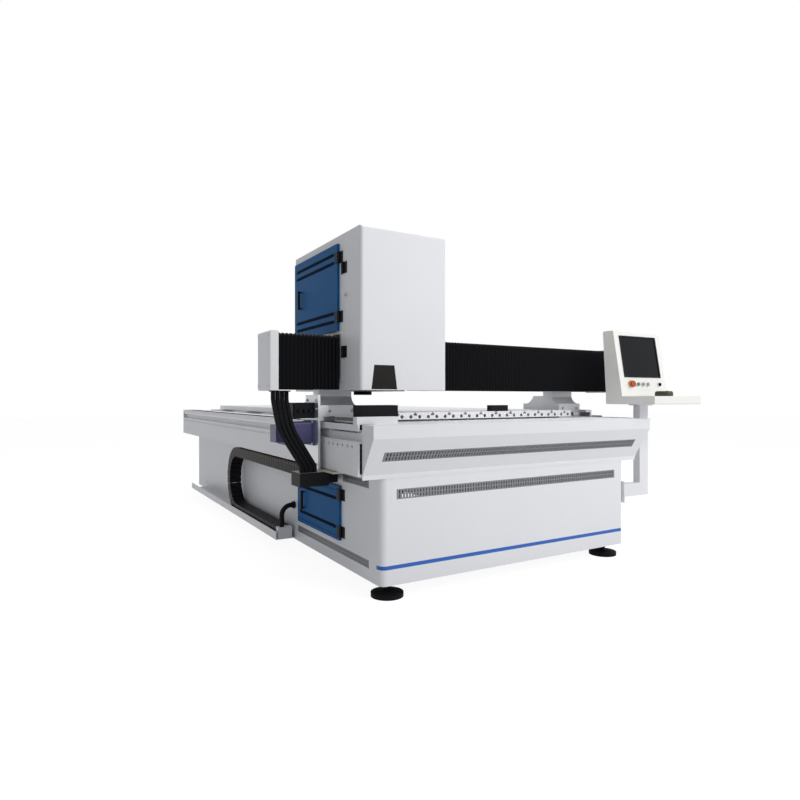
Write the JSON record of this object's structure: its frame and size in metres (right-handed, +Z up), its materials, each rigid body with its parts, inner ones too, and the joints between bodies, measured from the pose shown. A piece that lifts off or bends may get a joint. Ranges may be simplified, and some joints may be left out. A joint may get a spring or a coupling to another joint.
{
  "type": "gantry laser cutting machine",
  "caption": "Flatbed gantry laser machine: sheet-metal bed with a slotted table, a travelling bridge under bellows, an enclosed laser cabinet and a side console.",
  "frame": {"origin": "floor level, at the bottom centre of the box around the whole machine", "axes": "+Z up; +Y along the bed from its front apron to its rear end; +X to the right seen from the front, towards the console"},
  "size_m": [2.554, 4.3182, 1.828],
  "materials": {
    "white_paint": "semi-gloss",
    "frame_paint": "satin",
    "aluminium": "satin",
    "steel": "ground",
    "vent_sheet": "satin",
    "beige_paint": "satin",
    "black_rubber": "matte",
    "black_plastic": "matte",
    "blue_paint": "semi-gloss",
    "motor_paint": "satin",
    "dark_window": "gloss",
    "screen": "gloss",
    "olive_plastic": "matte",
    "red_plastic": "gloss",
    "green_plastic": "gloss",
    "grey_plastic": "gloss"
  },
  "bodies": {
    "bed": {"base_shell": "white_paint", "bed_frame": "frame_paint", "table_profiles": "aluminium", "side_beams": "white_paint", "apron": "white_paint", "vent_grilles": "vent_sheet", "guide_rails": "steel", "rail_covers_front": "black_rubber", "rail_covers_rear": "black_rubber", "levelling_feet": "black_rubber", "electrical_panel": "frame_paint", "table_stops": "black_plastic", "lower_door_hinge_leaves": "black_plastic", "chain_tray": "white_paint", "supply_cable": "black_rubber", "chain_lower_run": "black_plastic", "console_arm": "white_paint"},
    "gantry": {"bridge_beam": "frame_paint", "bridge_rails": "steel", "bridge_feet": "aluminium", "bridge_blocks": "steel", "bridge_caps": "white_paint", "drive_plates": "aluminium", "drive_motors": "motor_paint", "chain_bracket": "beige_paint", "cable_loom": "black_rubber", "chain_upper_run": "black_plastic", "bellows_left": "black_rubber", "bellows_right": "black_rubber"},
    "pinions": {"pinions": "steel"},
    "chain_bend_low": {"chain_bend_lower": "black_plastic"},
    "chain_bend_high": {"chain_bend_upper": "black_plastic"},
    "carriage": {"carriage_frame": "frame_paint", "carriage_blocks": "steel", "cabinet_shell": "white_paint", "hose_collar": "black_plastic", "laser_source": "black_plastic", "z_module": "black_plastic", "cabinet_hinge_leaves": "black_plastic"},
    "cabinet_cover": {"front_cover": "white_paint", "viewing_window": "dark_window", "cover_hinge_knuckles": "black_plastic"},
    "cabinet_door": {"upper_door": "blue_paint", "upper_door_handle": "black_plastic", "upper_door_hinge_knuckles": "black_plastic"},
    "bed_door": {"lower_door": "blue_paint", "lower_door_handle": "black_plastic", "lower_door_hinge_knuckles": "black_plastic"},
    "z_head": {"z_plate": "aluminium", "laser_head": "black_plastic", "head_lens": "black_plastic"},
    "console": {"console_shell": "white_paint", "console_screen": "screen", "console_mouse": "olive_plastic"},
    "estop": {"estop_button": "red_plastic"},
    "start": {"start_button": "green_plastic"},
    "pause": {"pause_button": "grey_plastic"},
    "reset": {"reset_button": "grey_plastic"},
    "key": {"key_switch": "black_plastic"}
  },
  "joints": [
    {"name": "gantry_slide", "type": "slide", "parent": "bed", "child": "gantry", "axis": [0, 1, 0], "range_m": [-0.05, 2.5], "deforming": ["rail_covers_front", "rail_covers_rear", "chain_lower_run", "chain_upper_run"]},
    {"name": "pinion_turn", "type": "hinge", "parent": "gantry", "child": "pinions", "pos_m": [-0.02698, -1.44788, 0.7857], "axis": [1, 0, 0], "continuous": true},
    {"name": "chain_bend_low_slide", "type": "slide", "parent": "bed", "child": "chain_bend_low", "axis": [0, 1, 0], "range_m": [-0.025, 1.25]},
    {"name": "chain_bend_high_slide", "type": "slide", "parent": "gantry", "child": "chain_bend_high", "axis": [0, 1, 0], "range_m": [-1.25, 0.025]},
    {"name": "carriage_slide", "type": "slide", "parent": "gantry", "child": "carriage", "axis": [1, 0, 0], "range_m": [-0.15, 1.1], "deforming": ["bellows_left", "bellows_right"]},
    {"name": "z_slide", "type": "slide", "parent": "carriage", "child": "z_head", "axis": [0, 0, 1], "range_m": [-0.04, 0.05]},
    {"name": "cover_hinge", "type": "hinge", "parent": "carriage", "child": "cabinet_cover", "pos_m": [-0.89698, -1.55988, 1.417], "axis": [0, 0, -1], "range_deg": [0, 95]},
    {"name": "cabinet_door_hinge", "type": "hinge", "parent": "carriage", "child": "cabinet_door", "pos_m": [-0.89698, -1.51188, 1.553], "axis": [0, 0, 1], "range_deg": [0, 90]},
    {"name": "bed_door_hinge", "type": "hinge", "parent": "bed", "child": "bed_door", "pos_m": [-0.88498, -1.50988, 0.353], "axis": [0, 0, 1], "range_deg": [0, 110]},
    {"name": "console_swivel", "type": "hinge", "parent": "bed", "child": "console", "pos_m": [1.06102, -1.87788, 0.9273], "axis": [0, 0, 1], "range_deg": [-30, 30]},
    {"name": "estop_press", "type": "slide", "parent": "console", "child": "estop", "axis": [0.0344, 0.9842, -0.1736], "range_m": [0, 0.004]},
    {"name": "start_press", "type": "slide", "parent": "console", "child": "start", "axis": [0.0344, 0.9842, -0.1736], "range_m": [0, 0.003]},
    {"name": "pause_press", "type": "slide", "parent": "console", "child": "pause", "axis": [0.0344, 0.9842, -0.1736], "range_m": [0, 0.003]},
    {"name": "reset_press", "type": "slide", "parent": "console", "child": "reset", "axis": [0.0344, 0.9842, -0.1736], "range_m": [0, 0.003]},
    {"name": "key_turn", "type": "hinge", "parent": "console", "child": "key", "pos_m": [1.20208, -1.90741, 1.05239], "axis": [-0.0344, -0.9842, 0.1736], "range_deg": [0, 90]}
  ],
  "couplings": [
    {"joint": "pinion_turn", "follows": "gantry_slide", "rad_per_m": 55.556},
    {"joint": "chain_bend_low_slide", "follows": "gantry_slide", "ratio": 0.5},
    {"joint": "chain_bend_high_slide", "follows": "gantry_slide", "ratio": -0.5}
  ]
}
